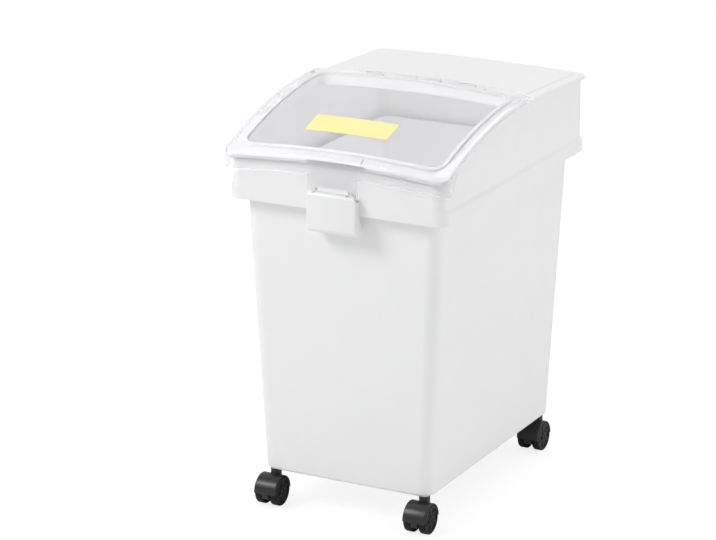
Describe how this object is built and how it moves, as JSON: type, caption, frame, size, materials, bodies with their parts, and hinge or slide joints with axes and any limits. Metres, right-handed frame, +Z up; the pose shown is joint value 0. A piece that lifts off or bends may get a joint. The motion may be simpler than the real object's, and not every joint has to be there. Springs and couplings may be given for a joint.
{
  "type": "rice bin with flip lid",
  "caption": "Tall tapered white storage bin for dry food, on swivel casters, with a lift-off hood and a clear flip lid held by a front latch.",
  "frame": {"origin": "on the floor under the middle of the whole object's box, with the wheels touching z = 0", "axes": "+X to the right across the bin, -Y to the front with the latch, +Z up"},
  "size_m": [0.3316, 0.4544, 0.5645],
  "materials": {
    "white_plastic": "satin moulded polypropylene",
    "clear_plastic": "clear polished",
    "seal_rubber": "soft translucent",
    "yellow_label": "plain film label",
    "caster_nylon": "satin moulded nylon",
    "wheel_nylon": "smooth nylon tread",
    "steel": "bright zinc plated"
  },
  "bodies": {
    "bin": {"bin_body": "white_plastic", "caster_grip_rings": "steel", "front_left_caster_stem": "steel", "front_right_caster_stem": "steel", "rear_left_caster_stem": "steel", "rear_right_caster_stem": "steel"},
    "hood": {"hood": "white_plastic", "lid_seal": "seal_rubber", "hinge_rod": "steel"},
    "lid": {"lid": "clear_plastic", "name_label": "yellow_label"},
    "latch": {"latch": "white_plastic", "latch_pin": "steel"},
    "front_left_caster": {"front_left_caster_housing": "caster_nylon", "front_left_caster_axle": "steel"},
    "front_left_left_wheel": {"front_left_caster_left_wheel": "wheel_nylon"},
    "front_left_right_wheel": {"front_left_caster_right_wheel": "wheel_nylon"},
    "front_right_caster": {"front_right_caster_housing": "caster_nylon", "front_right_caster_axle": "steel"},
    "front_right_left_wheel": {"front_right_caster_left_wheel": "wheel_nylon"},
    "front_right_right_wheel": {"front_right_caster_right_wheel": "wheel_nylon"},
    "rear_left_caster": {"rear_left_caster_housing": "caster_nylon", "rear_left_caster_axle": "steel"},
    "rear_left_left_wheel": {"rear_left_caster_left_wheel": "wheel_nylon"},
    "rear_left_right_wheel": {"rear_left_caster_right_wheel": "wheel_nylon"},
    "rear_right_caster": {"rear_right_caster_housing": "caster_nylon", "rear_right_caster_axle": "steel"},
    "rear_right_left_wheel": {"rear_right_caster_left_wheel": "wheel_nylon"},
    "rear_right_right_wheel": {"rear_right_caster_right_wheel": "wheel_nylon"}
  },
  "joints": [
    {"name": "hood_lift", "type": "slide", "parent": "bin", "child": "hood", "axis": [0, 0, 1], "range_m": [0, 0.25]},
    {"name": "lid_flip", "type": "hinge", "parent": "hood", "child": "lid", "pos_m": [0, 0.03625, 0.5535], "axis": [-1, 0, 0], "range_deg": [0, 105]},
    {"name": "latch_swing", "type": "hinge", "parent": "lid", "child": "latch", "pos_m": [0, -0.22225, 0.46], "axis": [-1, 0, 0], "range_deg": [0, 70]},
    {"name": "front_left_swivel", "type": "hinge", "parent": "bin", "child": "front_left_caster", "pos_m": [-0.113, -0.17375, 0.0485], "axis": [0, 0, 1], "continuous": true},
    {"name": "front_left_left_roll", "type": "hinge", "parent": "front_left_caster", "child": "front_left_left_wheel", "pos_m": [-0.113, -0.18575, 0.02], "axis": [1, 0, 0], "continuous": true},
    {"name": "front_left_right_roll", "type": "hinge", "parent": "front_left_caster", "child": "front_left_right_wheel", "pos_m": [-0.113, -0.18575, 0.02], "axis": [1, 0, 0], "continuous": true},
    {"name": "front_right_swivel", "type": "hinge", "parent": "bin", "child": "front_right_caster", "pos_m": [0.113, -0.17375, 0.0485], "axis": [0, 0, 1], "continuous": true},
    {"name": "front_right_left_roll", "type": "hinge", "parent": "front_right_caster", "child": "front_right_left_wheel", "pos_m": [0.113, -0.18575, 0.02], "axis": [1, 0, 0], "continuous": true},
    {"name": "front_right_right_roll", "type": "hinge", "parent": "front_right_caster", "child": "front_right_right_wheel", "pos_m": [0.113, -0.18575, 0.02], "axis": [1, 0, 0], "continuous": true},
    {"name": "rear_left_swivel", "type": "hinge", "parent": "bin", "child": "rear_left_caster", "pos_m": [-0.113, 0.18625, 0.0485], "axis": [0, 0, 1], "continuous": true},
    {"name": "rear_left_left_roll", "type": "hinge", "parent": "rear_left_caster", "child": "rear_left_left_wheel", "pos_m": [-0.113, 0.17425, 0.02], "axis": [1, 0, 0], "continuous": true},
    {"name": "rear_left_right_roll", "type": "hinge", "parent": "rear_left_caster", "child": "rear_left_right_wheel", "pos_m": [-0.113, 0.17425, 0.02], "axis": [1, 0, 0], "continuous": true},
    {"name": "rear_right_swivel", "type": "hinge", "parent": "bin", "child": "rear_right_caster", "pos_m": [0.113, 0.18625, 0.0485], "axis": [0, 0, 1], "continuous": true},
    {"name": "rear_right_left_roll", "type": "hinge", "parent": "rear_right_caster", "child": "rear_right_left_wheel", "pos_m": [0.113, 0.17425, 0.02], "axis": [1, 0, 0], "continuous": true},
    {"name": "rear_right_right_roll", "type": "hinge", "parent": "rear_right_caster", "child": "rear_right_right_wheel", "pos_m": [0.113, 0.17425, 0.02], "axis": [1, 0, 0], "continuous": true}
  ]
}
